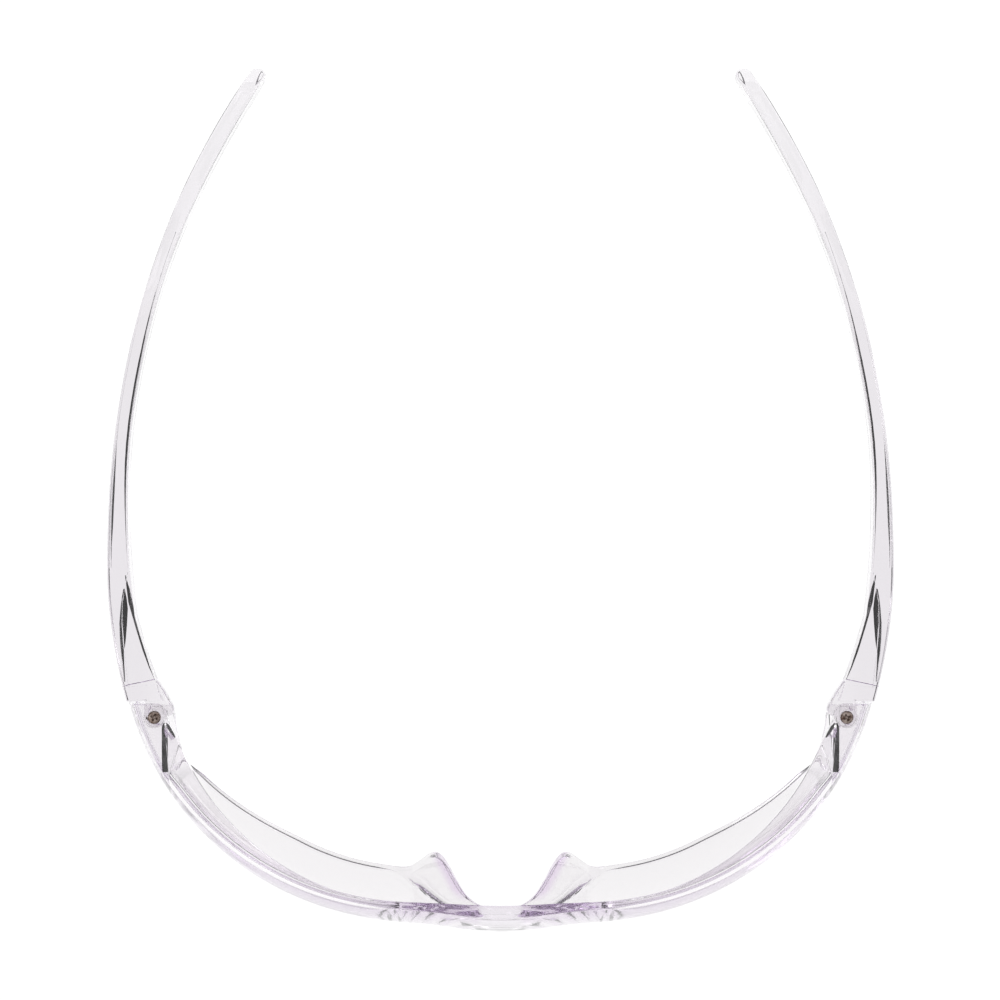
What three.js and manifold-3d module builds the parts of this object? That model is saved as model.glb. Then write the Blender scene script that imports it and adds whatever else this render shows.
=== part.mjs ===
// Clear one-piece wraparound safety glasses, in millimetres.
// +Z is up, the lens faces -Y, the temples run back along +Y and +X is the wearer's left.
// The glasses stand on the lens's lower edge and on the two temple tips, at z = 0.
// Shapes are worked out with y measured back from the frontmost point of the lens; the whole
// group is then moved forward by half its length.

import * as THREE from 'three';
import { mergeVertices } from 'three/addons/utils/BufferGeometryUtils.js';
import Module from 'manifold-3d';

const wasm = await Module();
wasm.setup();
const { degToRad, smoothstep } = THREE.MathUtils;

// ---- Driving dimensions ----

const OVERALL_LENGTH = 168.6;

// Lens: two side arcs joined by a short straight front with a raised bridge.
const ARC_CENTRE_X = 16.8;
const ARC_RADIUS = 56.85;
const ARC_END = degToRad(77);
const BRIDGE_BUMP = 2.0;
const BRIDGE_BUMP_WIDTH = 12.3;
const VERTICAL_RADIUS = 49;
const BULGE_HEIGHT = 25;
const LENS_WALL = 2.0;
const TOP_THINNING = 0.6;
const BRIDGE_EXTRA_WALL = 1.2;
const BRIDGE_WALL_WIDTH = 12;
const HINGE_WALL = 1.3;
const LENS_TOP_CENTRE = 44.0;
const LENS_TOP_DROP = 4.8;
const LENS_TOP_DROP_END = degToRad(62);
const CHEEK_START = degToRad(28);
const CHEEK_RISE = 18.6;
const LENS_ROWS = 7;
const FRONT_STEP = 1.55;
const SIDE_STEPS = 24;

// Nose notch and nose pads.
const NOTCH_HEIGHT = 27;
const NOTCH_HALF_WIDTH = 12.6;
const NOTCH_SHAPE = 2.6;
const NOTCH_TRIM = 0.3;
const PAD_CENTRE_X = 11.9;
const PAD_SPREAD = 4.6;
const PAD_DEPTH = 8.2;
const SADDLE_DEPTH = 1.5;
const PAD_WALL = 1.2;
const PAD_ROUNDING = 0.6;
const PAD_WALL_LIMIT = 5;
const PAD_END = 21.8;

// Brow ledge along the top edge of the lens, widest at the hinge.
const LEDGE_DEPTH = 4.2;
const LEDGE_WIDENING = 2.87;
const LEDGE_HEIGHT = 2.2;
const FILLET = 0.8;

// Hinge: two lugs on the lens, the temple's tongue between them, one screw through all three.
const HINGE_X = 66.2;
const HINGE_Y = 41.8;
const LUG_TOP = 37.6;
const LUG_BOTTOM = 24.6;
const LUG_PLATE = 2.6;
const LUG_REAR = 44.5;
const LUG_START = degToRad(74);
const LUG_END = degToRad(58);
const WALL_OVERLAP = 0.45;
const GAP = 0.3;
const TONGUE_RADIUS = 2.0;
const SCREW_HOLE_RADIUS = 0.95;
const HEAD_RADIUS = 1.25;
const HEAD_HEIGHT = 1.0;
const SHANK_RADIUS = 0.7;
const COUNTERBORE_RADIUS = 2.0;
const COUNTERBORE_DEPTH = 1.4;
const RECESS_WIDTH = 0.4;
const RECESS_LENGTH = 1.5;
const RECESS_DEPTH = 0.5;

// Temple: outer face is two tangent arcs in plan, and the rear part bends down to the ear.
const TEMPLE_MAX_X = 75.45;
const TEMPLE_WIDEST_Y = 75;
const TEMPLE_FRONT_RADIUS = 117;
const TEMPLE_REAR_RADIUS = 178;
const TEMPLE_FRONT_Y = LUG_REAR + 0.4;
const TEMPLE_CENTRE_Z = 32.55;
const TEMPLE_SLOPE = 0.045;
const BEND_START = 112;
const BEND_END = 140;
const BEND_SLOPE = 0.6;
const BLADE_THICKNESS = 3.3;
const BLADE_HEIGHT = 7.8;
const BLADE_CHAMFER = 0.8;
const TIP_ROUND = 4;
const POCKET_FLOOR = 35.5;

// Grooves cut from below under the lugs and the hinge blocks, each with one sloping flank.
const FLANK_SLOPE = Math.tan(degToRad(42));
const GROOVE_RUN_OUT = 0.8;

// ---- Solids ----

function solidFrom(geometry) {
  const bare = new THREE.BufferGeometry();
  bare.setAttribute('position', geometry.getAttribute('position').clone());
  bare.setIndex(geometry.getIndex());
  const merged = mergeVertices(bare, 1e-5);
  const mesh = new wasm.Mesh({
    numProp: 3,
    vertProperties: new Float32Array(merged.getAttribute('position').array),
    triVerts: new Uint32Array(merged.getIndex().array),
  });
  return new wasm.Manifold(mesh);
}

function geometryFrom(solid) {
  const mesh = solid.getMesh();
  const geometry = new THREE.BufferGeometry();
  geometry.setAttribute('position', new THREE.BufferAttribute(mesh.vertProperties, 3));
  geometry.setIndex(new THREE.BufferAttribute(mesh.triVerts, 1));
  geometry.computeVertexNormals();
  return geometry;
}

// Closed skin through rings of equal length; each end is closed by joining the ring's two halves.
function loft(rings, flip) {
  const count = rings[0].length;
  const triangles = [];
  const quad = (a, b, c, d) => triangles.push(a, b, c, a, c, d);
  for (let i = 0; i + 1 < rings.length; i += 1) {
    for (let j = 0; j < count; j += 1) {
      const next = (j + 1) % count;
      quad(i * count + j, i * count + next, (i + 1) * count + next, (i + 1) * count + j);
    }
  }
  const last = (rings.length - 1) * count;
  for (let j = 0; j + 1 < count / 2; j += 1) {
    const across = count - 1 - j;
    quad(j, across, across - 1, j + 1);
    quad(last + j, last + j + 1, last + across - 1, last + across);
  }
  if (flip) triangles.reverse();
  const geometry = new THREE.BufferGeometry().setFromPoints(rings.flat());
  geometry.setIndex(triangles);
  return geometry;
}

// Upright prism over a plan outline given as [x, y] points of the wearer's left side.
function prism(outline, side, low, high) {
  const points = outline.map(([x, y]) => new THREE.Vector2(side * x, y));
  const geometry = new THREE.ExtrudeGeometry(new THREE.Shape(points), {
    depth: high - low,
    bevelEnabled: false,
  });
  geometry.translate(0, 0, low);
  return solidFrom(geometry);
}

// Upright cylinder on the hinge axis.
function hingeCylinder(radius, side, low, high, sides = 20) {
  const geometry = new THREE.CylinderGeometry(radius, radius, high - low, sides);
  geometry.rotateX(Math.PI / 2);
  geometry.translate(side * HINGE_X, HINGE_Y, (low + high) / 2);
  return solidFrom(geometry);
}

// ---- Lens ----

// Plan position of the lens's outer face, s millimetres round from the middle of the bridge.
function wrapAt(s) {
  const phi = Math.max(0, (s - ARC_CENTRE_X) / ARC_RADIUS);
  const x = phi > 0 ? ARC_CENTRE_X + ARC_RADIUS * Math.sin(phi) : s;
  const bump = BRIDGE_BUMP * Math.exp(-((x / BRIDGE_BUMP_WIDTH) ** 2));
  const y = BRIDGE_BUMP - bump + ARC_RADIUS * (1 - Math.cos(phi));
  return { x, y, phi };
}

// The lens curves back above and below its bulge.
function setback(z) {
  return VERTICAL_RADIUS - Math.sqrt(VERTICAL_RADIUS ** 2 - (z - BULGE_HEIGHT) ** 2);
}

function wallAt(x, phi, z) {
  const bridge = BRIDGE_EXTRA_WALL * Math.exp(-((x / BRIDGE_WALL_WIDTH) ** 2));
  const full = LENS_WALL + bridge - TOP_THINNING * smoothstep(z, BULGE_HEIGHT, LENS_TOP_CENTRE);
  return THREE.MathUtils.lerp(full, HINGE_WALL, smoothstep(phi, degToRad(54), degToRad(60)));
}

function innerDepth(x, phi, z) {
  return setback(z) + wallAt(x, phi, z);
}

function notchAt(x) {
  const height = NOTCH_HEIGHT * Math.exp(-((x / NOTCH_HALF_WIDTH) ** NOTCH_SHAPE));
  return Math.max(0, height - NOTCH_TRIM);
}

function lensBottom(x, phi) {
  return notchAt(x) + CHEEK_RISE * Math.max(0, phi - CHEEK_START) ** 1.5;
}

function lensTop(phi) {
  return LENS_TOP_CENTRE - LENS_TOP_DROP * Math.min(1, phi / LENS_TOP_DROP_END) ** 2.5;
}

function padDepth(x) {
  const pad = PAD_DEPTH * Math.exp(-(((x - PAD_CENTRE_X) / PAD_SPREAD) ** 2));
  const saddle = SADDLE_DEPTH * (1 - smoothstep(x, 4, 15));
  return x > PAD_END ? 0 : pad + saddle;
}

// Height of the pad's wall, which leans with the side of the notch.
function padHeight(x) {
  const slope = (notchAt(x + 0.2) - notchAt(Math.max(0, x - 0.2))) / 0.4;
  return Math.min(PAD_WALL_LIMIT, PAD_WALL * Math.hypot(1, slope) + PAD_ROUNDING);
}

// Closed outline of the lens across its height, s millimetres round from the bridge.
function lensRing(s) {
  const side = Math.sign(s) || 1;
  const { x, y, phi } = wrapAt(Math.abs(s));
  const top = lensTop(phi);
  const bottom = lensBottom(x, phi);
  const ledge = LEDGE_DEPTH + LEDGE_WIDENING * phi;
  const pad = padDepth(x);
  const padTop = bottom + padHeight(x);
  const at = (depth, z) => new THREE.Vector3(
    side * (x - depth * Math.sin(phi)),
    y + depth * Math.cos(phi),
    z,
  );
  const underLedge = top - LEDGE_HEIGHT;
  const outer = [at(Math.max(innerDepth(x, phi, top), ledge), top)];
  const inner = [at(Math.max(innerDepth(x, phi, underLedge), ledge), underLedge)];
  for (let row = 0; row <= LENS_ROWS; row += 1) {
    const t = row / LENS_ROWS;
    const outerZ = THREE.MathUtils.lerp(top, bottom, t);
    const innerZ = THREE.MathUtils.lerp(underLedge - FILLET, padTop + FILLET, t);
    outer.push(at(setback(outerZ), outerZ));
    inner.push(at(innerDepth(x, phi, innerZ), innerZ));
  }
  outer.push(at(innerDepth(x, phi, bottom) + pad, bottom));
  inner.push(at(innerDepth(x, phi, padTop) + pad, padTop));
  return [...outer, ...inner.reverse()];
}

// Fine steps over the bridge and the pads, coarser ones round the side.
function lensStations() {
  const stations = [];
  for (let s = 0; s < PAD_END; s += FRONT_STEP) stations.push(s);
  const start = stations[stations.length - 1];
  const end = ARC_CENTRE_X + ARC_RADIUS * ARC_END;
  for (let i = 1; i <= SIDE_STEPS; i += 1) {
    stations.push(THREE.MathUtils.lerp(start, end, i / SIDE_STEPS));
  }
  return [...stations.slice(1).reverse().map((s) => -s), ...stations];
}

// Plan point inside the lens wall, at the angle phi round the lens's side arc.
function wallPoint(phi, z) {
  const radius = ARC_RADIUS - setback(z) - WALL_OVERLAP;
  return [
    ARC_CENTRE_X + radius * Math.sin(phi),
    BRIDGE_BUMP + ARC_RADIUS - radius * Math.cos(phi),
  ];
}

// A lug's outline: its rear corner, a stretch inside the lens wall, and its free inner edge.
function lugOutline(innerEdge, z) {
  const steps = 6;
  const wall = [];
  for (let i = 0; i <= steps; i += 1) {
    wall.push(wallPoint(THREE.MathUtils.lerp(LUG_START, LUG_END, i / steps), z));
  }
  return [[wall[0][0], LUG_REAR], ...wall, ...innerEdge];
}

function upperLug(side) {
  const innerEdge = [[61.5, 37.5], [63.5, 41.1], [63.7, 43.2], [65.2, LUG_REAR]];
  return prism(lugOutline(innerEdge, LUG_TOP), side, LUG_TOP - LUG_PLATE, LUG_TOP);
}

function lowerLug(side) {
  const innerEdge = [[61.9, 36.9], [62.4, 38.6], [62.8, 41.0], [62.9, 43.1], [63.5, LUG_REAR]];
  return prism(lugOutline(innerEdge, LUG_BOTTOM), side, LUG_BOTTOM, LUG_BOTTOM + LUG_PLATE);
}

// Room above the upper lug, outside the brow ledge.
function lugRecess(side) {
  const outline = [[64.1, 40.7], [63.3, 31.1], [62.9, 26], [80, 26], [80, 50], [64.1, 50]];
  return prism(outline, side, LUG_TOP, LENS_TOP_CENTRE);
}

// Room behind the end of the brow ledge, where the folded temple lies.
function ledgeEnd(side) {
  const outline = [
    [63.7, 43.2], [63.5, 41.1], [61.6, 37.7], [57, 30.5], [48, 38], [48, 52], [65.4, 52],
    [65.4, LUG_REAR],
  ];
  return prism(outline, side, LUG_TOP - LUG_PLATE, LENS_TOP_CENTRE);
}

// Everything behind the flat rear face of the lugs.
function behindLugs(side) {
  const outline = [[50, LUG_REAR], [80, LUG_REAR], [80, 56], [50, 56]];
  return prism(outline, side, 0, LENS_TOP_CENTRE);
}

// Groove cut from below along points of plan position, face height and width, from the front back.
// Its sloping flank is on the outer side where facing is 1 and on the inner side where it is -1.
function groove(path, side, facing) {
  const rings = path.map(({ x, y, face, width }, i) => {
    const behind = path[Math.max(0, i - 1)];
    const ahead = path[Math.min(path.length - 1, i + 1)];
    const across = new THREE.Vector2(ahead.y - behind.y, behind.x - ahead.x).normalize();
    const at = (offset, z) => {
      const reach = offset * facing * width;
      return new THREE.Vector3(side * (x + across.x * reach), y + across.y * reach, z);
    };
    return [
      at(-0.5, face - GROOVE_RUN_OUT),
      at(-0.5, face + FLANK_SLOPE * width),
      at(0.5, face),
      at(0.5, face - GROOVE_RUN_OUT),
    ];
  });
  return solidFrom(loft(rings, side * facing < 0));
}

function lugGrooves(side) {
  const face = LUG_TOP - LUG_PLATE;
  const long = [[64.1, 31.3, 1.25], [64.2, 36, 1.15], [64.2, 39.9, 1.15], [64.15, 40.7, 0.6]];
  const short = [[62.2, 38.0, 0.4], [62.9, 39.2, 0.75], [63.4, 40.0, 0.7], [63.9, 40.75, 0.25]];
  return [long, short].map((line) => {
    const path = line.map(([x, y, width]) => ({ x, y, face, width }));
    return groove(path, side, -1);
  });
}

function screwPassage(side) {
  const hole = hingeCylinder(SCREW_HOLE_RADIUS, side, LUG_BOTTOM - 1, LUG_TOP + 1);
  const bore = hingeCylinder(COUNTERBORE_RADIUS, side, LUG_TOP - COUNTERBORE_DEPTH, LUG_TOP + 1);
  return hole.add(bore);
}

function lensShield() {
  let solid = solidFrom(loft(lensStations().map(lensRing), false));
  for (const side of [1, -1]) {
    solid = solid.subtract(lugRecess(side));
    solid = solid.subtract(ledgeEnd(side));
    solid = solid.add(upperLug(side));
    solid = solid.add(lowerLug(side));
    solid = solid.subtract(behindLugs(side));
    for (const cut of lugGrooves(side)) solid = solid.subtract(cut);
    solid = solid.subtract(screwPassage(side));
  }
  return geometryFrom(solid);
}

// ---- Temples ----

function templeOuterX(y) {
  const radius = y < TEMPLE_WIDEST_Y ? TEMPLE_FRONT_RADIUS : TEMPLE_REAR_RADIUS;
  return TEMPLE_MAX_X - radius + Math.sqrt(radius ** 2 - (y - TEMPLE_WIDEST_Y) ** 2);
}

function templeThickness(y) {
  const swelling = 1.3 * (1 - smoothstep(y, 61, 100));
  const wedge = 0.15 * Math.max(0, 61 - y);
  return BLADE_THICKNESS + swelling + wedge + 0.4 * smoothstep(y, 128, 160);
}

function templeHeight(y) {
  const front = 3.7 * (1 - smoothstep(y, 62, 112)) - 1.4 * (1 - smoothstep(y, 45, 58));
  return BLADE_HEIGHT + front + 2.8 * smoothstep(y, 122, 158);
}

function templeCentreZ(y) {
  const bend = THREE.MathUtils.clamp(y - BEND_START, 0, BEND_END - BEND_START);
  const curved = (BEND_SLOPE * bend ** 2) / (2 * (BEND_END - BEND_START));
  const straight = BEND_SLOPE * Math.max(0, y - BEND_END);
  return TEMPLE_CENTRE_Z - TEMPLE_SLOPE * (y - TEMPLE_FRONT_Y) - curved - straight;
}

// Cross-section of the temple with bevelled edges; the tip is rounded off.
function templeRing(y, side) {
  const intoTip = Math.max(0, (y - (OVERALL_LENGTH - TIP_ROUND)) / TIP_ROUND);
  const shrink = Math.sqrt(1 - Math.min(0.98, intoTip ** 2));
  const thickness = templeThickness(y) * (0.35 + 0.65 * shrink);
  const middleX = templeOuterX(y) - templeThickness(y) / 2;
  const outerX = middleX + thickness / 2;
  const innerX = middleX - thickness / 2;
  const half = (templeHeight(y) / 2) * (0.3 + 0.7 * shrink);
  const centre = templeCentreZ(y);
  const high = centre + half;
  const low = Math.max(0, centre - half);
  const bevel = BLADE_CHAMFER * (0.3 + 0.7 * shrink);
  const inset = 0.7 * bevel;
  const at = (x, z) => new THREE.Vector3(side * x, y, z);
  return [
    at(outerX, low + bevel),
    at(outerX, high - bevel),
    at(outerX - inset, high),
    at(innerX + inset, high),
    at(innerX, high - bevel),
    at(innerX, low + bevel),
    at(innerX + inset, low),
    at(outerX - inset, low),
  ];
}

function templeStations() {
  const stations = [TEMPLE_FRONT_Y, 46.5, 48.2];
  for (let y = 51; y < 160; y += 4) stations.push(y);
  for (const step of [8, 5.5, 4, 2.8, 1.8, 1, 0.4, 0]) stations.push(OVERALL_LENGTH - step);
  return stations;
}

// Shallow step in the top of the hinge block, between the outer wall and the inner edge.
function templePocket(side) {
  const outline = [
    [71.2, 47.6], [71.9, 54], [72.4, 60], [72.3, 64], [71.3, 69.5], [58, 69.5], [58, 48.8],
  ];
  return prism(outline, side, POCKET_FLOOR, LUG_TOP + 5);
}

// Tongue that turns on the screw, with a cam on its inner side.
function templeTongue(side) {
  const outline = [[HINGE_X + TONGUE_RADIUS, 45.4]];
  const steps = 10;
  for (let i = 0; i <= steps; i += 1) {
    const angle = -Math.PI * (i / steps);
    outline.push([
      HINGE_X + TONGUE_RADIUS * Math.cos(angle),
      HINGE_Y + TONGUE_RADIUS * Math.sin(angle),
    ]);
  }
  outline.push([62.7, 42.3], [62.7, 43.5], [63.5, 45.0], [64.7, 47.1], [66.0, 48.9]);
  outline.push([HINGE_X + TONGUE_RADIUS, 48.9]);
  const low = LUG_BOTTOM + LUG_PLATE + GAP;
  const high = LUG_TOP - LUG_PLATE - GAP;
  return prism(outline, side, low, high);
}

// Two grooves under the hinge block, which meet at its rear end.
function blockGrooves(side) {
  const outer = [
    [72.2, 48.5, 0.25], [72.5, 52, 0.35], [72.7, 54, 0.55], [72.65, 56.5, 1.1],
    [72.6, 59.5, 1.5], [72.4, 62.5, 1.4], [72.4, 64.5, 0.9], [72.45, 66, 0.3],
  ];
  const inner = [
    [66.5, 48.9, 0.15], [67.5, 51.2, 0.3], [68.6, 54.4, 0.5], [69.9, 58.9, 0.7],
    [71.2, 63.8, 0.9], [71.7, 66.5, 0.6], [72.2, 68.6, 0.15],
  ];
  const toPath = ([x, y, width]) => ({ x, y, face: templeCentreZ(y) - templeHeight(y) / 2, width });
  return [groove(outer.map(toPath), side, 1), groove(inner.map(toPath), side, -1)];
}

function temple(side) {
  const rings = templeStations().map((y) => templeRing(y, side));
  let solid = solidFrom(loft(rings, side > 0));
  solid = solid.subtract(templePocket(side));
  solid = solid.add(templeTongue(side));
  for (const cut of blockGrooves(side)) solid = solid.subtract(cut);
  solid = solid.subtract(hingeCylinder(SCREW_HOLE_RADIUS, side, LUG_BOTTOM, LUG_TOP));
  return geometryFrom(solid);
}

// ---- Hinge screws ----

function hingeScrew(side) {
  const top = LUG_TOP - COUNTERBORE_DEPTH + GAP + HEAD_HEIGHT;
  const profile = [
    new THREE.Vector2(0, LUG_BOTTOM + GAP),
    new THREE.Vector2(SHANK_RADIUS - 0.2, LUG_BOTTOM + GAP),
    new THREE.Vector2(SHANK_RADIUS, LUG_BOTTOM + GAP + 0.5),
    new THREE.Vector2(SHANK_RADIUS, top - HEAD_HEIGHT),
    new THREE.Vector2(HEAD_RADIUS, top - HEAD_HEIGHT),
    new THREE.Vector2(HEAD_RADIUS, top - 0.3),
    new THREE.Vector2(HEAD_RADIUS - 0.3, top),
    new THREE.Vector2(0, top),
  ];
  const turned = new THREE.LatheGeometry(profile, 20);
  turned.rotateX(Math.PI / 2);
  turned.translate(side * HINGE_X, HINGE_Y, 0);
  let solid = solidFrom(turned);
  for (const turn of [0, Math.PI / 2]) {
    const slot = new THREE.BoxGeometry(RECESS_LENGTH, RECESS_WIDTH, 2 * RECESS_DEPTH);
    slot.rotateZ(turn + side * 0.4);
    slot.translate(side * HINGE_X, HINGE_Y, top);
    solid = solid.subtract(solidFrom(slot));
  }
  return geometryFrom(solid);
}

// ---- Materials and assembly ----

function clearPlastic(colour) {
  return new THREE.MeshStandardMaterial({
    color: colour,
    roughness: 0.05,
    metalness: 0,
    transparent: true,
    opacity: 0.35,
  });
}

function screwMetal() {
  return new THREE.MeshStandardMaterial({ color: 0x8a7d74, roughness: 0.35, metalness: 1 });
}

function addPart(group, name, geometry, material) {
  const mesh = new THREE.Mesh(geometry, material);
  mesh.name = name;
  group.add(mesh);
}

const glasses = new THREE.Group();
glasses.position.y = -OVERALL_LENGTH / 2;
addPart(glasses, 'lens_shield', lensShield(), clearPlastic(0xeae4f2));
addPart(glasses, 'temple_left', temple(1), clearPlastic(0xecebf0));
addPart(glasses, 'temple_right', temple(-1), clearPlastic(0xecebf0));
addPart(glasses, 'hinge_screw_left', hingeScrew(1), screwMetal());
addPart(glasses, 'hinge_screw_right', hingeScrew(-1), screwMetal());

export default glasses;
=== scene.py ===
"""Clear wraparound safety glasses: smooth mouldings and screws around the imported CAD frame.

The lens shield and the temples are built again from the same formulas as the CAD solids, with
rounded edges and a smooth surface, because a clear moulding shows every facet.
Shapes are worked out in millimetres with y measured back from the front of the lens, and are
moved into the frame, in metres, by place().
"""

import math

import bmesh
import bpy
import numpy as np
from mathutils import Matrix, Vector


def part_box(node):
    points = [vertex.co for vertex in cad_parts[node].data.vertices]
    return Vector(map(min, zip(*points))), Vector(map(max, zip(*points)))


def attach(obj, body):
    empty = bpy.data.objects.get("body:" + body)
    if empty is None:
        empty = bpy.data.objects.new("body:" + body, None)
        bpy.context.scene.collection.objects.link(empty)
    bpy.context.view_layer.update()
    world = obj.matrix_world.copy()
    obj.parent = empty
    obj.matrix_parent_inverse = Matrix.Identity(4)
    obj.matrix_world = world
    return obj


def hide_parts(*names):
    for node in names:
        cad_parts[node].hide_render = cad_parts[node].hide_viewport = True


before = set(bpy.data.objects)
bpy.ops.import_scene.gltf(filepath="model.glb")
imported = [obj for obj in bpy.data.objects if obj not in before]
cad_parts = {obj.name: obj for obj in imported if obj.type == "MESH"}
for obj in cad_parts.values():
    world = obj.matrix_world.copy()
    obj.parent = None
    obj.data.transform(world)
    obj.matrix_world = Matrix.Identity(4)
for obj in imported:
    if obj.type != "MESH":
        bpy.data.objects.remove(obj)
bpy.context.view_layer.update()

MM = 0.001
FRONT_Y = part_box("lens_shield")[0].y

# ---- Lens dimensions, mm ----
ARC_CENTRE_X = 16.8
ARC_RADIUS = 56.85
ARC_END = math.radians(77)
BRIDGE_BUMP = 2.0
BRIDGE_BUMP_WIDTH = 12.3
VERTICAL_RADIUS = 49
BULGE_HEIGHT = 25
LENS_WALL = 2.0
TOP_THINNING = 0.6
BRIDGE_EXTRA_WALL = 1.2
BRIDGE_WALL_WIDTH = 12
HINGE_WALL = 1.3
HINGE_WALL_START = math.radians(54)
HINGE_WALL_END = math.radians(60)
LENS_TOP_CENTRE = 44.0
LENS_TOP_DROP = 4.8
LENS_TOP_DROP_END = math.radians(62)
LENS_TOP_DROP_POWER = 2.5
CHEEK_START = math.radians(28)
CHEEK_RISE = 18.6
CHEEK_POWER = 1.5
NOTCH_HEIGHT = 27
NOTCH_HALF_WIDTH = 12.6
NOTCH_POWER = 2.6
NOTCH_TRIM = 0.3
PAD_CENTRE_X = 11.9
PAD_SPREAD = 4.6
PAD_DEPTH = 8.2
PAD_LIMIT_X = ARC_CENTRE_X + 5
PAD_WALL = 1.2
PAD_ROUNDING = 0.6
PAD_WALL_LIMIT = 5.0
SADDLE_DEPTH = 1.5
SADDLE_START = 4
SADDLE_END = 15
LEDGE_DEPTH = 4.2
LEDGE_WIDENING = 2.87
LEDGE_HEIGHT = 2.2
LEDGE_FILLET = 0.35
HEEL_HEIGHT = 0.8

# A small step along the lens's lower edge; its flank steepens with the wall's lean.
STEP_INSET = 0.25
STEP_WIDTH = 0.7
STEP_TILT = 0.28
STEP_TILT_PER_LEAN = 0.576
STEP_SIDE_START = math.radians(4)
STEP_SIDE_FULL = math.radians(10)
STEP_REAR_START = math.radians(60)
STEP_REAR_END = math.radians(66)

# ---- Where the violet tint gathers and the brow's lighter painted shade takes over, m ----
BROW_LOW = 0.0385
BROW_HIGH = 0.0415
PAD_LEAN = 0.62
PAD_EDGE = 0.006 - PAD_LEAN * (FRONT_Y + 0.0072)
PAD_TINT_OUTER = PAD_EDGE + 0.0034
PAD_TINT_FULL = PAD_EDGE + 0.0022
PAD_TINT_FRONT = FRONT_Y + 0.0055
PAD_TINT_REAR = FRONT_Y + 0.0075

# ---- Hinge dimensions, mm ----
HINGE_X = 66.2
HINGE_Y = 41.8
LUG_TOP = 37.6
LUG_BOTTOM = 24.6
LUG_PLATE = 2.6
LUG_REAR = 44.5
LUG_EDGE_ROUND = 0.2
WALL_OVERLAP = 0.45
GAP = 0.3
TONGUE_RADIUS = 2.0
SCREW_HOLE_RADIUS = 0.95
HEAD_RADIUS = 1.25
HEAD_HEIGHT = 1.0
SHANK_RADIUS = 0.7
COUNTERBORE_RADIUS = 2.0
COUNTERBORE_DEPTH = 1.4
THREAD_PITCH = 0.4
THREAD_DEPTH = 0.14
HEAD_CHAMFER = 0.08
HEAD_DOME = 0.4
RECESS_TURN = 0.4

# Where the lugs' outlines run in the lens's wall, degrees round its arc.
LUG_FRONT = 58
LUG_WALL_END = 74.0
LUG_REAR_CORNER = math.radians(74.6)

# ---- Temple dimensions, mm ----
OVERALL_LENGTH = 168.6
TEMPLE_MAX_X = 75.45
TEMPLE_WIDEST_Y = 75
TEMPLE_FRONT_RADIUS = 117
TEMPLE_REAR_RADIUS = 178
TEMPLE_FRONT_Y = LUG_REAR + 0.4
TEMPLE_CENTRE_Z = 32.55
TEMPLE_SLOPE = 0.045
BEND_START = 112
BEND_END = 140
BEND_SLOPE = 0.6
BLADE_THICKNESS = 3.3
FRONT_THICKENING = 1.3
REAR_THICKENING = 0.4
BLADE_HEIGHT = 7.8
FRONT_DEEPENING = 3.7
REAR_DEEPENING = 2.8
BLOCK_REAR = 61
BLOCK_WEDGE = 0.15
BLOCK_NARROWING = 1.4
TIP_ROUND = 4
TIP_SHARE = 0.3
TEMPLE_CROWN = 0.35
BLADE_EDGE_ROUND = 0.3
REAR_EDGE_ROUND = 0.4
POCKET_FLOOR = 35.5

# Fine grooves under the blade: least width, and distance from each face.
LINE_WIDTH = 0.1
INNER_LINE_INSET = 0.95
OUTER_LINE_INSET = 0.1

# How far a groove's sloping flank rises over its width, by the side that the flank is on.
FLANK_RISE = {1: math.tan(math.radians(41.2)), -1: math.tan(math.radians(43.2))}
GROOVE_RUN_OUT = 0.8


# ---- Camera and studio ----

def add_camera():
    """Looks straight down on the glasses, front at the bottom of the picture."""
    height_above_lugs = 1.0
    frame_width = 0.19037
    data = bpy.data.cameras.new("camera")
    data.sensor_width = 36
    data.lens = data.sensor_width * height_above_lugs / frame_width
    data.clip_end = 100
    camera = bpy.data.objects.new("camera", data)
    lug_plane = 0.041
    camera.location = (-0.0001, FRONT_Y + 0.08337, lug_plane + height_above_lugs)
    bpy.context.scene.collection.objects.link(camera)
    bpy.context.scene.camera = camera


def add_floor():
    """A white sweep that glows evenly, as a light table does."""
    mesh = bpy.data.meshes.new("floor")
    half = 6.0
    mesh.from_pydata(
        [(-half, -half, 0), (half, -half, 0), (half, half, 0), (-half, half, 0)], [], [(0, 1, 2, 3)]
    )
    floor = bpy.data.objects.new("floor", mesh)
    floor.location.z = -0.0002
    bpy.context.scene.collection.objects.link(floor)
    material = bpy.data.materials.new("floor_white")
    material.use_nodes = True
    nodes = material.node_tree.nodes
    shader = nodes["Principled BSDF"]
    shader.inputs["Base Color"].default_value = (0.05, 0.05, 0.05, 1)
    shader.inputs["Roughness"].default_value = 1.0
    shader.inputs["Specular IOR Level"].default_value = 0.0
    shader.inputs["Emission Color"].default_value = (1, 1, 1, 1)
    shader.inputs["Emission Strength"].default_value = 1.03
    mesh.materials.append(material)


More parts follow.
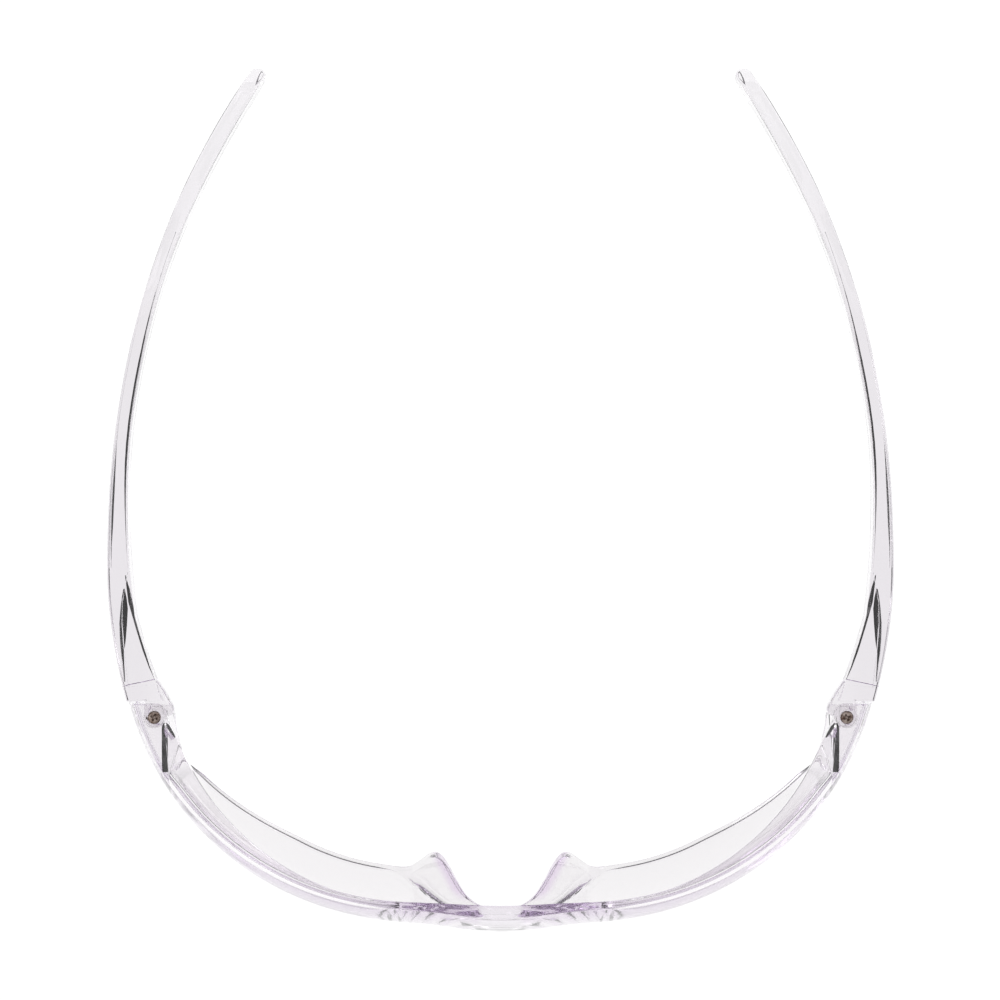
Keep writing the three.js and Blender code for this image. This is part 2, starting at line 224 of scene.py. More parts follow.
def add_world():
    """Pale at the horizon and dim overhead, so clear edges show against the white floor."""
    world = bpy.data.worlds.new("studio")
    bpy.context.scene.world = world
    world.use_nodes = True
    nodes = world.node_tree.nodes
    links = world.node_tree.links
    background = nodes["Background"]
    coordinates = nodes.new("ShaderNodeTexCoord")
    separate = nodes.new("ShaderNodeSeparateXYZ")
    ramp = nodes.new("ShaderNodeValToRGB")
    ramp.color_ramp.elements[0].position = 0.045
    ramp.color_ramp.elements[0].color = (0.95, 0.95, 0.95, 1)
    ramp.color_ramp.elements[1].position = 1.0
    ramp.color_ramp.elements[1].color = (0.6, 0.6, 0.6, 1)
    for position, tone in ((0.065, 0.03), (0.42, 0.03), (0.62, 0.6)):
        ramp.color_ramp.elements.new(position).color = (tone, tone, tone, 1)
    links.new(coordinates.outputs["Generated"], separate.inputs["Vector"])
    links.new(separate.outputs["Z"], ramp.inputs["Fac"])
    links.new(ramp.outputs["Color"], background.inputs["Color"])


def add_softbox(name, location, size, energy):
    data = bpy.data.lights.new(name, "AREA")
    data.shape = "SQUARE"
    data.size = size
    data.energy = energy
    light = bpy.data.objects.new(name, data)
    light.location = location
    target = Vector((0, 0, 0.02))
    light.rotation_euler = (Vector(location) - target).to_track_quat("Z", "Y").to_euler()
    bpy.context.scene.collection.objects.link(light)


# ---- Materials ----

def math_node(material, operation, first, second=0.0):
    node = material.node_tree.nodes.new("ShaderNodeMath")
    node.operation = operation
    for socket, value in zip(node.inputs, (first, second)):
        if isinstance(value, float):
            socket.default_value = value
        else:
            material.node_tree.links.new(value, socket)
    return node.outputs["Value"]


def map_range(material, value, low, high):
    node = material.node_tree.nodes.new("ShaderNodeMapRange")
    node.inputs["From Min"].default_value = low
    node.inputs["From Max"].default_value = high
    material.node_tree.links.new(value, node.inputs["Value"])
    return node.outputs["Result"]


def tint_and_shade_ramp(material, distance, stops):
    """Colours by distance from the middle plane, painted shade and violet tint alike; stops are
    (millimetres, colour).
    """
    reach = 80
    ramp = material.node_tree.nodes.new("ShaderNodeValToRGB")
    elements = ramp.color_ramp.elements
    while len(elements) < len(stops):
        elements.new(0.5)
    for element, (at, colour) in zip(elements, stops):
        element.position = at / reach
        element.color = colour + (1,)
    material.node_tree.links.new(map_range(material, distance, 0.0, reach * MM), ramp.inputs["Fac"])
    return ramp.outputs["Color"]


def blend_colours(material, factor, first, second):
    node = material.node_tree.nodes.new("ShaderNodeMix")
    node.data_type = "RGBA"
    links = material.node_tree.links
    links.new(factor, node.inputs["Factor"])
    links.new(first, node.inputs["A"])
    links.new(second, node.inputs["B"])
    return node.outputs["Result"]


def clear_plastic(name, density, painted_shade_stops, brow_violet_and_painted_shade=None):
    """Clear polycarbonate, violet where light runs along it; its grey base colour, set region by
    region, is painted shade standing in for the shadow the glasses cast on the floor.
    """
    material = bpy.data.materials.new(name)
    material.use_nodes = True
    nodes = material.node_tree.nodes
    links = material.node_tree.links
    shader = nodes["Principled BSDF"]
    shader.inputs["IOR"].default_value = 1.585
    shader.inputs["Transmission Weight"].default_value = 1.0
    # Faint waves left by moulding, and a very fine surface haze.
    coordinates = nodes.new("ShaderNodeTexCoord")
    waves = nodes.new("ShaderNodeTexNoise")
    waves.inputs["Scale"].default_value = 70
    waves.inputs["Detail"].default_value = 1
    bump = nodes.new("ShaderNodeBump")
    bump.inputs["Strength"].default_value = 0.05
    bump.inputs["Distance"].default_value = 0.0002
    haze = nodes.new("ShaderNodeTexNoise")
    haze.inputs["Scale"].default_value = 900
    haze.inputs["Detail"].default_value = 3
    spread = nodes.new("ShaderNodeMapRange")
    spread.inputs["To Min"].default_value = 0.0
    spread.inputs["To Max"].default_value = 0.05
    links.new(coordinates.outputs["Object"], waves.inputs["Vector"])
    links.new(coordinates.outputs["Object"], haze.inputs["Vector"])
    links.new(waves.outputs["Fac"], bump.inputs["Height"])
    links.new(bump.outputs["Normal"], shader.inputs["Normal"])
    links.new(haze.outputs["Fac"], spread.inputs["Value"])
    links.new(spread.outputs["Result"], shader.inputs["Roughness"])
    # Tint by distance from the middle plane: the grey steps are painted shade for the shadow on the
    # floor beneath; the thick brow and the pads' nose sides hold more violet.
    separate = nodes.new("ShaderNodeSeparateXYZ")
    links.new(coordinates.outputs["Object"], separate.inputs["Vector"])
    distance = math_node(material, "ABSOLUTE", separate.outputs["X"])
    tint_and_shade = tint_and_shade_ramp(material, distance, painted_shade_stops)
    if brow_violet_and_painted_shade:
        at_top = map_range(material, separate.outputs["Z"], BROW_LOW, BROW_HIGH)
        brow = tint_and_shade_ramp(material, distance, brow_violet_and_painted_shade)
        tint_and_shade = blend_colours(material, at_top, tint_and_shade, brow)
        lean = math_node(material, "MULTIPLY", separate.outputs["Y"], PAD_LEAN)
        across = math_node(material, "SUBTRACT", distance, lean)
        near_nose = map_range(material, across, PAD_TINT_OUTER, PAD_TINT_FULL)
        behind = map_range(material, separate.outputs["Y"], PAD_TINT_FRONT, PAD_TINT_REAR)
        on_pad = math_node(material, "MULTIPLY", near_nose, behind)
        violet = nodes.new("ShaderNodeRGB")
        violet.outputs[0].default_value = (0.72, 0.62, 0.76, 1)
        tint_and_shade = blend_colours(material, on_pad, tint_and_shade, violet.outputs[0])
    # The base colour carries the painted shade as well as the violet tint.
    links.new(tint_and_shade, shader.inputs["Base Color"])
    absorb = nodes.new("ShaderNodeVolumeAbsorption")
    absorb.inputs["Color"].default_value = (0.35, 0.1, 0.5, 1)
    absorb.inputs["Density"].default_value = density
    links.new(absorb.outputs["Volume"], nodes["Material Output"].inputs["Volume"])
    return material


def screw_metal():
    """Nickel-plated steel with turning marks, browned a little in fine random patches."""
    material = bpy.data.materials.new("screw_metal")
    material.use_nodes = True
    nodes = material.node_tree.nodes
    links = material.node_tree.links
    shader = nodes["Principled BSDF"]
    shader.inputs["Metallic"].default_value = 1.0
    coordinates = nodes.new("ShaderNodeTexCoord")
    stain = nodes.new("ShaderNodeTexNoise")
    stain.inputs["Scale"].default_value = 1400
    stain.inputs["Detail"].default_value = 4
    tone = nodes.new("ShaderNodeValToRGB")
    tone.color_ramp.elements[0].position = 0.35
    tone.color_ramp.elements[0].color = (0.14, 0.09, 0.07, 1)
    tone.color_ramp.elements[1].position = 0.65
    tone.color_ramp.elements[1].color = (0.5, 0.42, 0.38, 1)
    rough = nodes.new("ShaderNodeMapRange")
    rough.inputs["To Min"].default_value = 0.38
    rough.inputs["To Max"].default_value = 0.6
    bump = nodes.new("ShaderNodeBump")
    bump.inputs["Strength"].default_value = 0.3
    bump.inputs["Distance"].default_value = 0.00003
    links.new(coordinates.outputs["Object"], stain.inputs["Vector"])
    links.new(stain.outputs["Fac"], tone.inputs["Fac"])
    links.new(tone.outputs["Color"], shader.inputs["Base Color"])
    links.new(stain.outputs["Fac"], rough.inputs["Value"])
    links.new(rough.outputs["Result"], shader.inputs["Roughness"])
    links.new(stain.outputs["Fac"], bump.inputs["Height"])
    links.new(bump.outputs["Normal"], shader.inputs["Normal"])
    return material


# ---- Mesh helpers ----

def place(points):
    """From working millimetres into the frame's metres."""
    return [(p[0] * MM, p[1] * MM + FRONT_Y, p[2] * MM) for p in points]


def new_object(name, points, faces):
    mesh = bpy.data.meshes.new(name)
    mesh.from_pydata(place(points), [], faces)
    work = bmesh.new()
    work.from_mesh(mesh)
    bmesh.ops.remove_doubles(work, verts=work.verts, dist=1e-7)
    bmesh.ops.recalc_face_normals(work, faces=work.faces)
    work.to_mesh(mesh)
    work.free()
    thing = bpy.data.objects.new(name, mesh)
    bpy.context.scene.collection.objects.link(thing)
    return thing


def loft(name, rings):
    """Closed skin through rings of equal length, with a flat face on each end."""
    count = len(rings[0])
    points = [p for ring in rings for p in ring]
    faces = []
    for i in range(len(rings) - 1):
        for j in range(count):
            following = (j + 1) % count
            faces.append((i * count + j, i * count + following,
                          (i + 1) * count + following, (i + 1) * count + j))
    last = (len(rings) - 1) * count
    faces.append(tuple(range(count)))
    faces.append(tuple(range(last, last + count)))
    return new_object(name, points, faces)


def prism(outline, side, low, high, rounding=0.0):
    """Upright prism over a plan outline, its top and bottom edges rounded."""
    levels = [(0.0, low), (0.0, high)]
    if rounding:
        steps = 4
        levels = [(rounding - s, low + rounding - math.sqrt(max(0, rounding**2 - s**2)))
                  for s in np.linspace(0, rounding, steps + 1)]
        levels += [(rounding - s, high - rounding + math.sqrt(max(0, rounding**2 - s**2)))
                   for s in np.linspace(rounding, 0, steps + 1)]
    rings = []
    for inset, z in levels:
        rings.append([(side * x, y, z) for x, y in shrink(outline, inset)])
    return loft("tool", rings)


def shrink(outline, inset):
    """Moves each side of a plan outline inwards by inset."""
    if not inset:
        return outline
    area = sum(a[0] * b[1] - b[0] * a[1] for a, b in zip(outline, outline[1:] + outline[:1]))
    turn = 1 if area > 0 else -1
    moved = []
    for i, point in enumerate(outline):
        before = np.array(point) - np.array(outline[i - 1])
        after = np.array(outline[(i + 1) % len(outline)]) - np.array(point)
        before = before / (np.linalg.norm(before) or 1)
        after = after / (np.linalg.norm(after) or 1)
        normal = np.array([-(before[1] + after[1]), before[0] + after[0]]) * turn
        normal = normal / (np.linalg.norm(normal) or 1)
        square = np.array([-before[1], before[0]]) * turn
        moved.append(tuple(np.array(point) + normal * inset / max(0.5, normal.dot(square))))
    return moved


def round_outline(outline, radius, steps=5):
    """Replaces each corner of a plan outline by a short curve."""
    rounded = []
    for i, point in enumerate(outline):
        corner = np.array(point, float)
        before = np.array(outline[i - 1], float) - corner
        after = np.array(outline[(i + 1) % len(outline)], float) - corner
        lengths = np.linalg.norm(before), np.linalg.norm(after)
        start = corner + before / lengths[0] * min(radius, lengths[0] * 0.45)
        end = corner + after / lengths[1] * min(radius, lengths[1] * 0.45)
        for t in np.linspace(0, 1, steps):
            rounded.append(tuple((1 - t) ** 2 * start + 2 * t * (1 - t) * corner + t**2 * end))
    return rounded


def disc(radius, side, low, high, sides=48):
    points = [(HINGE_X + radius * math.cos(2 * math.pi * i / sides),
               HINGE_Y + radius * math.sin(2 * math.pi * i / sides)) for i in range(sides)]
    return prism(points, side, low, high)


def combine(target, tool, operation):
    """Joins or cuts with a closed tool, which is then removed."""
    modifier = target.modifiers.new("combine", "BOOLEAN")
    modifier.operation = operation
    modifier.solver = "MANIFOLD"
    modifier.object = tool
    bpy.context.view_layer.update()
    graph = bpy.context.evaluated_depsgraph_get()
    result = bpy.data.meshes.new_from_object(target.evaluated_get(graph))
    target.modifiers.clear()
    old = target.data
    target.data = result
    bpy.data.meshes.remove(old)
    bpy.data.objects.remove(tool)


def finish_piece(thing, name, material, body, node, crease=38):
    """Smooth shading below the crease angle in degrees, and what the piece stands for."""
    thing.name = name
    thing.data.name = name
    thing.data.materials.clear()
    thing.data.materials.append(material)
    thing.data.polygons.foreach_set("use_smooth", [True] * len(thing.data.polygons))
    thing.data.set_sharp_from_angle(angle=math.radians(crease))
    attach(thing, body)
    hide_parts(node)


def smoothstep(value, low, high):
    t = min(1.0, max(0.0, (value - low) / (high - low)))
    return t * t * (3 - 2 * t)


# ---- Lens shield ----

def wrap_at(s):
    phi = max(0.0, (s - ARC_CENTRE_X) / ARC_RADIUS)
    x = ARC_CENTRE_X + ARC_RADIUS * math.sin(phi) if phi > 0 else s
    bump = BRIDGE_BUMP * math.exp(-((x / BRIDGE_BUMP_WIDTH) ** 2))
    y = BRIDGE_BUMP - bump + ARC_RADIUS * (1 - math.cos(phi))
    return x, y, phi


def setback(z):
    return VERTICAL_RADIUS - math.sqrt(VERTICAL_RADIUS**2 - (z - BULGE_HEIGHT) ** 2)


def wall_at(x, phi, z):
    bridge = BRIDGE_EXTRA_WALL * math.exp(-((x / BRIDGE_WALL_WIDTH) ** 2))
    at_top = TOP_THINNING * smoothstep(z, BULGE_HEIGHT, LENS_TOP_CENTRE)
    at_hinge = smoothstep(phi, HINGE_WALL_START, HINGE_WALL_END)
    full = LENS_WALL + bridge - at_top
    return full + (HINGE_WALL - full) * at_hinge


def notch_at(x):
    bell = math.exp(-((x / NOTCH_HALF_WIDTH) ** NOTCH_POWER))
    return max(0.0, NOTCH_HEIGHT * bell - NOTCH_TRIM)


def lens_bottom(x, phi):
    return notch_at(x) + CHEEK_RISE * max(0.0, phi - CHEEK_START) ** CHEEK_POWER


def lens_top(phi):
    along = min(1.0, phi / LENS_TOP_DROP_END)
    return LENS_TOP_CENTRE - LENS_TOP_DROP * along**LENS_TOP_DROP_POWER


def pad_depth(x):
    if x > PAD_LIMIT_X:
        return 0.0
    pad = PAD_DEPTH * math.exp(-(((x - PAD_CENTRE_X) / PAD_SPREAD) ** 2))
    return pad + SADDLE_DEPTH * (1 - smoothstep(x, SADDLE_START, SADDLE_END))


def pad_height(x):
    """The pad's wall measured upright, so that it is equally thick where the notch is steep."""
    reach = 0.2
    slope = (notch_at(x + reach) - notch_at(max(0.0, x - reach))) / (2 * reach)
    return min(PAD_WALL_LIMIT, PAD_WALL * math.hypot(1, slope) + PAD_ROUNDING)


def rounded_loop(edges, radii, corner_steps):
    """Samples a closed section made of edges (function, count); radii round the edge ends."""
    loop = []
    count = len(edges)
    lengths = []
    for curve, _ in edges:
        fine = np.array([curve(t) for t in np.linspace(0, 1, 9)])
        lengths.append(float(np.linalg.norm(np.diff(fine, axis=0), axis=1).sum()))
    for i, (curve, samples) in enumerate(edges):
        length = max(lengths[i], 1e-6)
        start = min(radii[i - 1] / length, 0.45)
        end = 1 - min(radii[i] / length, 0.45)
        for t in np.linspace(start, end, samples):
            loop.append(np.array(curve(t)))
        following = edges[(i + 1) % count][0]
        next_length = max(lengths[(i + 1) % count], 1e-6)
        first = np.array(curve(end))
        corner = np.array(curve(1))
        last = np.array(following(min(radii[i] / next_length, 0.45)))
        for t in np.linspace(0, 1, corner_steps + 2)[1:-1]:
            loop.append((1 - t) ** 2 * first + 2 * t * (1 - t) * corner + t**2 * last)
    return loop


def straight(a, b):
    return lambda t: (a[0] + (b[0] - a[0]) * t, a[1] + (b[1] - a[1]) * t)


def lens_ring(s):
    """Section across the lens's wall, the ledge at its top and the pad at its foot."""
    side = -1 if s < 0 else 1
    x, y, phi = wrap_at(abs(s))
    top = lens_top(phi)
    bottom = lens_bottom(x, phi)
    ledge = LEDGE_DEPTH + LEDGE_WIDENING * phi
    pad = pad_depth(x)
    pad_top = bottom + pad_height(x)
    low = pad_top + HEEL_HEIGHT

    def inner_depth(z):
        return setback(z) + wall_at(x, phi, z)

    upper = (max(inner_depth(top), ledge), top)
    under = (max(inner_depth(top - LEDGE_HEIGHT), ledge), top - LEDGE_HEIGHT)
    overhang = under[0] - inner_depth(top - LEDGE_HEIGHT)
    high = top - LEDGE_HEIGHT - max(0.05, LEDGE_FILLET * overhang)
    throat = (inner_depth(high), high)
    heel = (inner_depth(low), low)
    foot = (setback(bottom), bottom)
    toe = (inner_depth(bottom) + pad, bottom)
    toe_top = (inner_depth(pad_top) + pad, pad_top)

    def outer(t):
        z = top + (bottom - top) * t
        return setback(z), z

    def inner(t):
        z = low + (high - low) * t
        return inner_depth(z), z

    lean = math.asin((BULGE_HEIGHT - bottom) / VERTICAL_RADIUS)
    step = STEP_WIDTH * smoothstep(phi, STEP_SIDE_START, STEP_SIDE_FULL)
    step *= 1 - smoothstep(phi, STEP_REAR_START, STEP_REAR_END)
    step_start = (foot[0] + STEP_INSET, bottom)
    flank = math.tan(STEP_TILT + STEP_TILT_PER_LEAN * lean)
    step_top = (step_start[0] + step, bottom + step * flank)
    step_end = (step_top[0], bottom)

    edges = [
        (straight(upper, (setback(top), top)), 6),
        (outer, 44),
        (straight(foot, step_start), 5),
        (straight(step_start, step_top), 3),
        (straight(step_top, step_end), 3),
        (straight(step_end, toe), 12),
        (straight(toe, toe_top), 4),
        (straight(toe_top, heel), 14),
        (inner, 44),
        (straight(throat, under), 6),
        (straight(under, upper), 4),
    ]
    # One radius for the end of each edge; the small step keeps sharp corners.
    radii = [0.3, 0.25, 0.01, 0.01, 0.01, 0.3, 0.5, 1.6, 0.8, 0.3, 0.35]
    loop = rounded_loop(edges, radii, 4)
    return [(side * (x - depth * math.sin(phi)), y + depth * math.cos(phi), z)
            for depth, z in loop]


def lens_stations():
    arc_end = ARC_CENTRE_X + ARC_RADIUS * ARC_END
    fine_end = 22
    half = list(np.arange(0.25, fine_end, 0.25)) + list(np.linspace(fine_end, arc_end, 130))
    return [-s for s in reversed(half)] + [0.0] + half


def wall_line(start, end, z, steps=24):
    """Plan points just inside the lens's outer face at height z; start and end in degrees."""
    points = []
    for degrees in np.linspace(start, end, steps):
        phi = math.radians(degrees)
        radius = ARC_RADIUS - setback(z) - WALL_OVERLAP
        points.append((ARC_CENTRE_X + radius * math.sin(phi),
                       BRIDGE_BUMP + ARC_RADIUS - radius * math.cos(phi)))
    return points


def lug_outline(inner_edge, z):
    """The rear corner, the stretch inside the lens wall, and the free inner edge rounded."""
    rear_x = ARC_CENTRE_X + (ARC_RADIUS - setback(z) - WALL_OVERLAP) * math.sin(LUG_REAR_CORNER)
    edge = round_outline(wall_line(LUG_FRONT, LUG_FRONT, z, 1) + inner_edge, 0.7)
    return [(rear_x, LUG_REAR)] + wall_line(LUG_WALL_END, LUG_FRONT, z) + edge[5:]


def upper_lug(side):
    edge = [(61.5, 37.5), (63.5, 41.1), (63.7, 43.2), (65.2, LUG_REAR)]
    outline = lug_outline(edge, LUG_TOP)
    return prism(outline, side, LUG_TOP - LUG_PLATE, LUG_TOP, LUG_EDGE_ROUND)


def lower_lug(side):
    edge = [(61.9, 36.9), (62.4, 38.6), (62.8, 41.0), (62.9, 43.1), (63.5, LUG_REAR)]
    outline = lug_outline(edge, LUG_BOTTOM)
    return prism(outline, side, LUG_BOTTOM, LUG_BOTTOM + LUG_PLATE, LUG_EDGE_ROUND)


def lug_recess(side):
    """Room above the lug, down to its upper face."""
    outline = [(64.1, 40.7), (63.3, 31.1), (62.9, 26), (80, 26), (80, 50), (64.1, 50)]
    return prism(outline, side, LUG_TOP, LENS_TOP_CENTRE + 2)


def ledge_end(side):
    """Where the brow ledge stops short of the lug, clear of the folding temple."""
    outline = [(63.7, 43.2), (63.5, 41.1), (61.6, 37.7), (57, 30.5), (48, 38), (48, 52),
               (65.4, 52), (65.4, LUG_REAR)]
    return prism(outline, side, LUG_TOP - LUG_PLATE, LENS_TOP_CENTRE + 2)


def groove(path, side, facing):
    """A groove cut from below along (x, y, face z, width), with one steep and one sloping flank.

    The sloping flank is on the outer side where facing is 1 and on the inner side where it is -1.
    """
    rings = []
    for i, (x, y, face, width) in enumerate(path):
        behind = np.array(path[max(0, i - 1)][:2])
        ahead = np.array(path[min(len(path) - 1, i + 1)][:2])
        along = (ahead - behind) / np.linalg.norm(ahead - behind)
        outward = np.array([-along[1], along[0]])
        if outward[0] < 0:
            outward = -outward
        ring = []
        corners = ((-0.5, -GROOVE_RUN_OUT), (-0.5, FLANK_RISE[facing] * width),
                   (0.5, 0), (0.5, -GROOVE_RUN_OUT))
        for across, up in corners:
            point = np.array([x, y]) + outward * across * facing * width
            ring.append((side * point[0], point[1], face + up))
        rings.append(ring)
    return loft("tool", rings)


def lug_grooves(side):
    """Two grooves under the upper lug that nearly meet beside the screw, and one along its rear."""
    face = LUG_TOP - LUG_PLATE
    long = [(64.15, 40.7, face, 0.6), (64.2, 39.9, face, 1.15), (64.2, 36, face, 1.15),
            (64.1, 31.3, face, 1.25)]
    short = [(63.9, 40.75, face, 0.25), (63.4, 40.0, face, 0.7), (62.9, 39.2, face, 0.75),
             (62.2, 38.0, face, 0.4)]
    rear = [(65.8, 44.15, face, 0.2), (72.6, 44.15, face, 0.2)]
    return groove(long, side, -1), groove(short, side, -1), groove(rear, side, -1)


def behind_lugs(side):
    """Everything behind the lugs' rear face."""
    outline = [(50, LUG_REAR), (80, LUG_REAR), (80, 56), (50, 56)]
    return prism(outline, side, -1, LENS_TOP_CENTRE + 2)


def lens_shield():
    lens = loft("lens", [lens_ring(s) for s in lens_stations()])
    for side in (1, -1):
        combine(lens, lug_recess(side), "DIFFERENCE")
        combine(lens, ledge_end(side), "DIFFERENCE")
        combine(lens, upper_lug(side), "UNION")
        combine(lens, lower_lug(side), "UNION")
        combine(lens, behind_lugs(side), "DIFFERENCE")
        for tool in lug_grooves(side):
            combine(lens, tool, "DIFFERENCE")
        combine(lens, disc(SCREW_HOLE_RADIUS, side, LUG_BOTTOM - 1, LUG_TOP + 1), "DIFFERENCE")
        combine(lens, disc(COUNTERBORE_RADIUS, side, LUG_TOP - COUNTERBORE_DEPTH, LUG_TOP + 1),
                "DIFFERENCE")
    return lens


# ---- Temples ----

def temple_outer_x(y):
    radius = TEMPLE_FRONT_RADIUS if y < TEMPLE_WIDEST_Y else TEMPLE_REAR_RADIUS
    return TEMPLE_MAX_X - radius + math.sqrt(radius**2 - (y - TEMPLE_WIDEST_Y) ** 2)


def temple_thickness(y):
    front = FRONT_THICKENING * (1 - smoothstep(y, BLOCK_REAR, 100))
    front += BLOCK_WEDGE * max(0.0, BLOCK_REAR - y)
    return BLADE_THICKNESS + front + REAR_THICKENING * smoothstep(y, 128, 160)


def temple_height(y):
    front = FRONT_DEEPENING * (1 - smoothstep(y, 62, 112))
    front -= BLOCK_NARROWING * (1 - smoothstep(y, 45, 58))
    return BLADE_HEIGHT + front + REAR_DEEPENING * smoothstep(y, 122, 158)


def temple_centre_z(y):
    bend = min(BEND_END - BEND_START, max(0.0, y - BEND_START))
    curved = BEND_SLOPE * bend**2 / (2 * (BEND_END - BEND_START))
    straight_drop = BEND_SLOPE * max(0.0, y - BEND_END)
    return TEMPLE_CENTRE_Z - TEMPLE_SLOPE * (y - TEMPLE_FRONT_Y) - curved - straight_drop


def temple_tip():
    """The half circle that ends the blade seen from above: slant sine, radius and centre."""
    rear = temple_outer_x(OVERALL_LENGTH - 3) - temple_outer_x(OVERALL_LENGTH - 2)
    angle = math.atan(rear)
    radius = temple_thickness(OVERALL_LENGTH) / 2 * math.cos(angle)
    end_y = OVERALL_LENGTH - radius
    return math.sin(angle), radius, temple_outer_x(end_y) - temple_thickness(end_y) / 2, end_y


def temple_ring(y, side):
    """Section across the blade; the outer face is slightly crowned."""
    into_tip = max(0.0, (y - (OVERALL_LENGTH - TIP_ROUND)) / TIP_ROUND)
    keep = math.sqrt(1 - min(0.995, into_tip**2))
    half = temple_height(y) / 2 * (TIP_SHARE + (1 - TIP_SHARE) * keep)
    centre = temple_centre_z(y)
    high = centre + half
    low = max(0.02, centre - half)
    outer_x = temple_outer_x(y)
    inner_x = outer_x - temple_thickness(y)
    slant, radius, end_x, end_y = temple_tip()
    reach = math.sqrt(max(0.02, radius**2 - (y - end_y) ** 2))
    if y > end_y + radius * slant:
        outer_x = end_x + reach
    if y > end_y - radius * slant:
        inner_x = end_x - reach
    crown = TEMPLE_CROWN * smoothstep(y, 62, 80) * (1 - smoothstep(y, 126, 146))

    def outer_face(t):
        return outer_x - crown * (2 * t - 1) ** 2, low + (high - low) * t

    edges = [
        (outer_face, 14),
        (straight((outer_x - crown, high), (inner_x, high)), 4),
        (straight((inner_x, high), (inner_x, low)), 12),
        (straight((inner_x, low), (outer_x - crown, low)), 4),
    ]
    corner = min(BLADE_EDGE_ROUND, (outer_x - inner_x) / 3)
    above = corner + REAR_EDGE_ROUND * smoothstep(y, 118, 142) * keep
    loop = rounded_loop(edges, [above, above, corner, corner], 6)
    return [(side * x, y, z) for x, z in loop]


def temple_stations():
    tip = OVERALL_LENGTH - TIP_ROUND
    steps = 24
    rounding = [tip + TIP_ROUND * math.sin(math.pi / 2 * i / steps) for i in range(1, steps + 1)]
    return list(np.linspace(TEMPLE_FRONT_Y, tip, 200)) + rounding


def temple_pocket(side):
    """The hollow in the top of the hinge block, open towards the head."""
    outline = [(71.2, 47.6), (71.9, 54), (72.4, 60), (72.3, 64), (71.3, 69.5),
               (58, 69.5), (58, 48.8)]
    return prism(outline, side, POCKET_FLOOR, LUG_TOP + 5)


def temple_tongue(side):
    """The leaf between the lugs, round about the screw, with a cam on its inner side."""
    outline = [(HINGE_X + TONGUE_RADIUS, 45.4)]
    steps = 32
    for i in range(steps + 1):
        angle = -math.pi * i / steps
        outline.append((HINGE_X + TONGUE_RADIUS * math.cos(angle),
                        HINGE_Y + TONGUE_RADIUS * math.sin(angle)))
    cam = [(62.7, 42.3), (62.7, 43.5), (63.5, 45.0), (64.7, 47.1), (66.0, 48.9)]
    outline += round_outline([outline[-1]] + cam + [(HINGE_X + 1, 48.9)], 1.0)[5:-5]
    outline.append((HINGE_X + TONGUE_RADIUS, 48.9))
    low = LUG_BOTTOM + LUG_PLATE + GAP
    return prism(outline, side, low, LUG_TOP - LUG_PLATE - GAP, 0.3)


def temple_grooves(side):
    """Grooves under the hinge block, which meet at its rear end, and along the blade's edges."""
    outer = [(72.2, 48.5, 0.25), (72.5, 52, 0.35), (72.7, 54, 0.55), (72.65, 56.5, 1.1),
             (72.6, 59.5, 1.5), (72.4, 62.5, 1.4), (72.4, 64.5, 0.9), (72.45, 66, 0.3)]
    inner = [(66.5, 48.9, 0.15), (67.5, 51.2, 0.3), (68.6, 54.4, 0.5), (69.9, 58.9, 0.7),
             (71.2, 63.8, 0.9), (71.7, 66.5, 0.6), (72.2, 68.6, 0.15)]
    step = [(66.4, 48.9, 0.15), (72.6, 47.6, 0.15)]
    inner_edge = []
    outer_edge = []
    for y in range(70, 135, 4):
        swell = smoothstep(y, 74, 92) * (1 - smoothstep(y, 106, 132))
        inner_x = temple_outer_x(y) - temple_thickness(y)
        inner_edge.append((inner_x + INNER_LINE_INSET, y, LINE_WIDTH + 0.27 * swell))
        swell = smoothstep(y, 70, 80) * (1 - smoothstep(y, 84, 98))
        width = LINE_WIDTH + 0.38 * swell
        inset = TEMPLE_CROWN + OUTER_LINE_INSET
        outer_edge.append((temple_outer_x(y) - inset - width / 2, y, width))
    tools = []
    lines = ((outer, 1), (inner, -1), (step, 1), (inner_edge, -1), (outer_edge, 1))
    for line, facing in lines:
        path = [(x, y, temple_centre_z(y) - temple_height(y) / 2, width) for x, y, width in line]
        tools.append(groove(path, side, facing))
    return tools


def temple(side):
    blade = loft("temple", [temple_ring(y, side) for y in temple_stations()])
    combine(blade, temple_pocket(side), "DIFFERENCE")
    combine(blade, temple_tongue(side), "UNION")
    for tool in temple_grooves(side):
        combine(blade, tool, "DIFFERENCE")
    combine(blade, disc(SCREW_HOLE_RADIUS, side, LUG_BOTTOM, LUG_TOP), "DIFFERENCE")
    return blade


# ---- Hinge screws ----

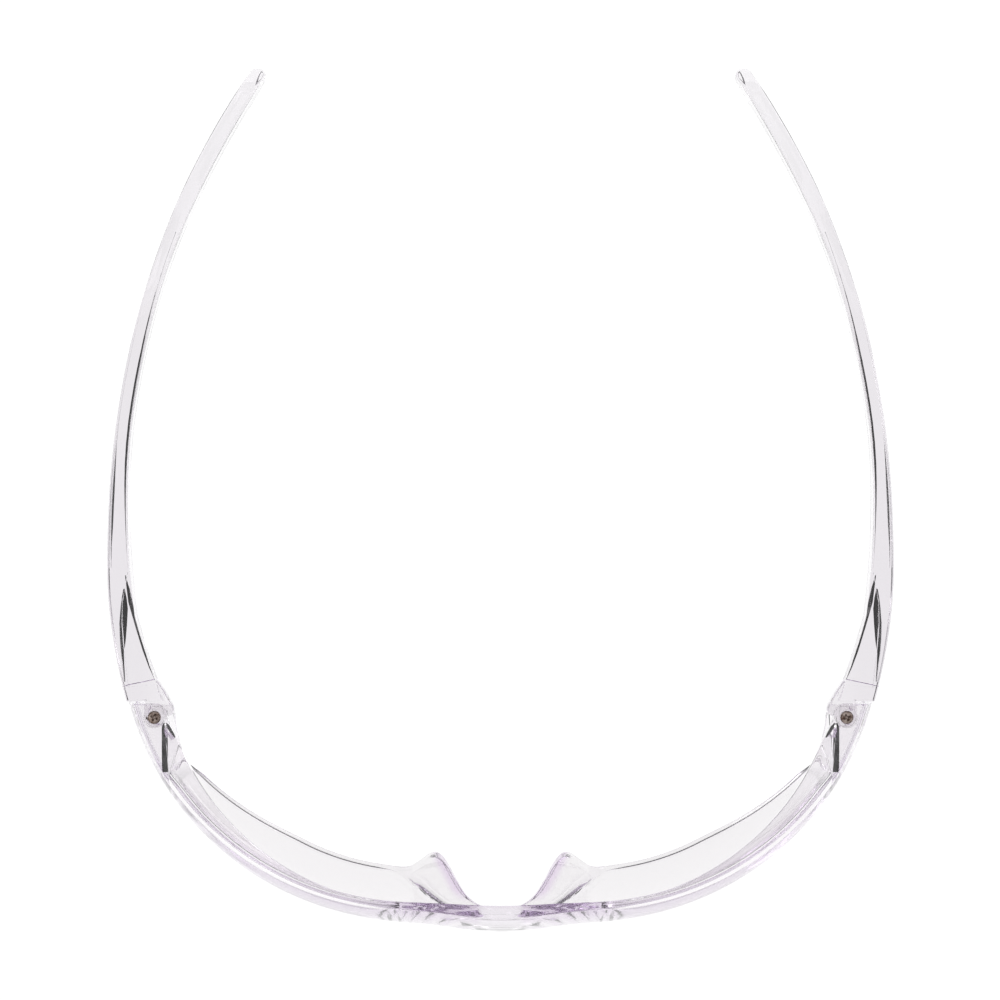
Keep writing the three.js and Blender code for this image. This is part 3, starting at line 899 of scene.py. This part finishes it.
def hinge_screw(side):
    """Round-edged head with a cross recess over a shank with a cut thread."""
    top = LUG_TOP - COUNTERBORE_DEPTH + GAP + HEAD_HEIGHT
    low = LUG_BOTTOM + GAP
    sides = 64
    rings = []

    def add(radius, z, thread=0.0):
        ring = []
        for i in range(sides):
            turn = i / sides
            ridge = abs(((z / THREAD_PITCH - turn) % 1.0) * 2 - 1) * thread
            angle = 2 * math.pi * turn
            ring.append((side * HINGE_X + (radius - ridge) * math.cos(angle),
                         HINGE_Y + (radius - ridge) * math.sin(angle), z))
        rings.append(ring)

    add(0.3, low)
    shank_top = top - HEAD_HEIGHT
    for z in np.arange(low + 0.15, shank_top - 0.1, THREAD_PITCH / 8):
        add(min(SHANK_RADIUS, 0.4 + z - low), z, THREAD_DEPTH)
    add(SHANK_RADIUS, shank_top - 0.02)
    add(HEAD_RADIUS - HEAD_CHAMFER, shank_top)
    add(HEAD_RADIUS, shank_top + HEAD_CHAMFER)
    steps = 8
    for i in range(steps + 1):
        angle = math.pi / 2 * i / steps
        inset = HEAD_DOME * (1 - math.cos(angle))
        add(HEAD_RADIUS - inset, top - HEAD_DOME + HEAD_DOME * math.sin(angle) * 0.9)
    add(0.4, top)
    screw = loft("screw", rings)
    for turn in (0.0, math.pi / 2):
        angle = turn + side * RECESS_TURN
        long = np.array([math.cos(angle), math.sin(angle)])
        wide = np.array([-math.sin(angle), math.cos(angle)])
        slot_rings = []
        for z, length, width in ((top - 0.55, 0.35, 0.1), (top + 0.2, 0.85, 0.24)):
            slot_rings.append([
                tuple(np.array([side * HINGE_X, HINGE_Y]) + long * length * a + wide * width * b)
                + (z,) for a, b in ((1, 1), (-1, 1), (-1, -1), (1, -1))])
        combine(screw, loft("tool", slot_rings), "DIFFERENCE")
    return screw


# ---- The scene ----

add_camera()
add_floor()
add_world()
add_softbox("key", (-0.9, -0.5, 1.3), 0.9, 6)
add_softbox("fill", (1.0, 0.6, 1.1), 0.9, 4)
bpy.context.scene.view_settings.view_transform = "Standard"
# Light is turned back inside the clear plastic many times before it leaves.
INNER_BOUNCES = 48
bpy.context.scene.cycles.max_bounces = INNER_BOUNCES
bpy.context.scene.cycles.glossy_bounces = INNER_BOUNCES
bpy.context.scene.cycles.transmission_bounces = INNER_BOUNCES

# Painted shade: the lens is greyed to 0.85 within 58 mm of the middle and kept at 0.95 at the lugs,
# standing in for the shadow on the floor beneath.
lens_painted_shade = [(58, (0.85, 0.835, 0.845)), (62, (0.95, 0.94, 0.95))]
# The brow's stops: a violet band near the bridge, the plastic's own tint, over lighter grey steps of
# painted shade.
brow_violet_and_painted_shade = [(3.4, (0.92, 0.91, 0.92)), (4.6, (0.74, 0.66, 0.77)), (14, (0.80, 0.73, 0.82)),
              (24, (0.94, 0.92, 0.94)), (58, (0.95, 0.93, 0.95)), (62, (0.95, 0.94, 0.95))]
lens_plastic = clear_plastic("lens_plastic", 6, lens_painted_shade, brow_violet_and_painted_shade)
# Painted shade: the temples are kept at 0.93 within 56 mm of the middle and greyed to 0.82 beyond 69
# mm, standing in for the shadow on the floor beneath.
temple_painted_shade = [(56, (0.93, 0.92, 0.93)), (69, (0.82, 0.80, 0.82))]
temple_plastic = clear_plastic("temple_plastic", 4, temple_painted_shade)
metal = screw_metal()

finish_piece(lens_shield(), "lens_moulding", lens_plastic, "front", "lens_shield")
for side, hand in ((1, "left"), (-1, "right")):
    finish_piece(temple(side), f"temple_moulding_{hand}", temple_plastic, f"{hand}_arm",
                 f"temple_{hand}")
    finish_piece(hinge_screw(side), f"screw_{hand}", metal, "front", f"hinge_screw_{hand}",
                 30)
